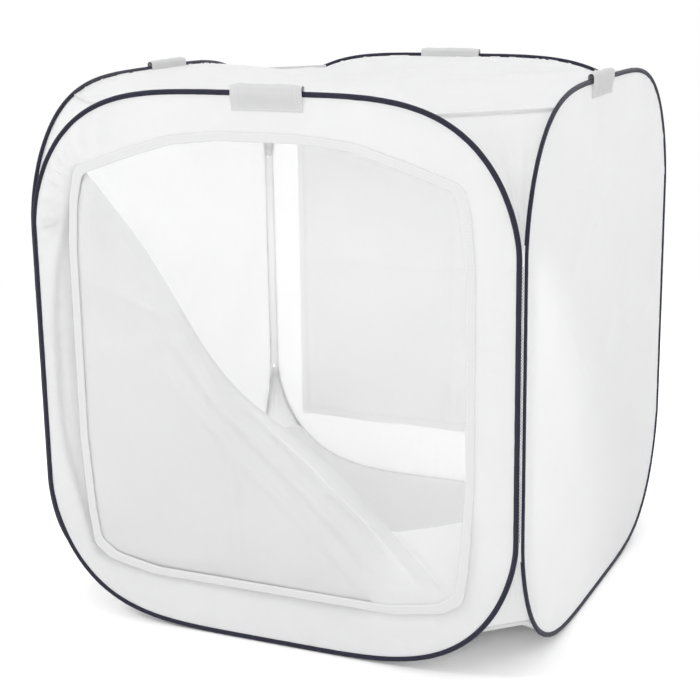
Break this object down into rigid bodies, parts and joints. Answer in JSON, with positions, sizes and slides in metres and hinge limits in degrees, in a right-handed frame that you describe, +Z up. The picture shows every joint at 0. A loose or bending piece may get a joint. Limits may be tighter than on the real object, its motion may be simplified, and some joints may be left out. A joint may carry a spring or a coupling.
{
  "type": "light tent cube",
  "caption": "Pop-up photo light tent: four sprung cloth sides hinged in a ring, soft top and floor, windowed front with a cover folded back, backdrop inside.",
  "frame": {"origin": "on the floor under the centre of the tent's box", "axes": "+Z up, +Y from the window to the back, +X to the right seen from the front"},
  "size_m": [0.6122, 0.6122, 0.6405],
  "materials": {
    "cloth": "white woven nylon, semi-matt",
    "inner": "white seamless backdrop cloth, matt",
    "tape": "white tape, matt",
    "binding": "black woven binding tape, matt",
    "thread": "black sewing thread, matt",
    "strip": "white hook-and-loop strip, matt",
    "wire": "flattened spring steel, plain"
  },
  "bodies": {
    "back": {"back_spring_wire": "wire", "back_wire_ferrule": "wire", "back_edge_binding": "binding", "back_joint_patch": "tape", "back_panel": "cloth", "back_left_seam": "thread", "back_right_seam": "thread", "backdrop_loop_strip": "strip", "backdrop_hook_strip": "strip", "backdrop": "inner"},
    "left": {"left_spring_wire": "wire", "left_wire_ferrule": "wire", "left_edge_binding": "binding", "left_joint_patch": "tape", "left_panel": "cloth"},
    "right": {"right_spring_wire": "wire", "right_wire_ferrule": "wire", "right_edge_binding": "binding", "right_joint_patch": "tape", "right_panel": "cloth"},
    "front": {"front_spring_wire": "wire", "front_wire_ferrule": "wire", "front_edge_binding": "binding", "front_joint_patch": "tape", "front_panel": "cloth", "front_left_seam": "thread", "front_right_seam": "thread", "window_hem": "tape", "window_loop_strip": "strip", "cover_panel": "cloth", "cover_hook_strip": "strip"},
    "flap": {"cover_flap": "cloth", "flap_hook_strip": "strip"},
    "canopy": {"top_panel": "cloth", "floor_panel": "cloth", "front_right_top_gusset": "cloth", "back_right_top_gusset": "cloth", "back_left_top_gusset": "cloth", "front_left_top_gusset": "cloth", "front_right_floor_gusset": "cloth", "back_right_floor_gusset": "cloth", "back_left_floor_gusset": "cloth", "front_left_floor_gusset": "cloth"}
  },
  "joints": [
    {"name": "left_fold", "type": "hinge", "parent": "back", "child": "left", "pos_m": [-0.3, 0.3, 0], "axis": [0, 0, 1], "range_deg": [0, 84]},
    {"name": "right_fold", "type": "hinge", "parent": "back", "child": "right", "pos_m": [0.3, 0.3, 0], "axis": [0, 0, 1], "range_deg": [0, 84]},
    {"name": "front_fold", "type": "hinge", "parent": "left", "child": "front", "pos_m": [-0.3, -0.3, 0], "axis": [0, 0, 1], "range_deg": [-84, 0]},
    {"name": "canopy_fold", "type": "hinge", "parent": "back", "child": "canopy", "pos_m": [-0.20074, 0.52294, 0], "axis": [0, 0, 1], "range_deg": [0, 42], "deforming": ["top_panel", "floor_panel", "front_right_top_gusset", "back_right_top_gusset", "back_left_top_gusset", "front_left_top_gusset", "front_right_floor_gusset", "back_right_floor_gusset", "back_left_floor_gusset", "front_left_floor_gusset"]},
    {"name": "cover_turn", "type": "hinge", "parent": "front", "child": "flap", "pos_m": [-0.23802, -0.29955, 0.55599], "axis": [0.7016, 0, -0.7126], "range_deg": [0, 180]}
  ],
  "couplings": [
    {"joint": "right_fold", "follows": "left_fold", "ratio": 1},
    {"joint": "front_fold", "follows": "left_fold", "ratio": -1},
    {"joint": "canopy_fold", "follows": "left_fold", "ratio": 0.5}
  ]
}
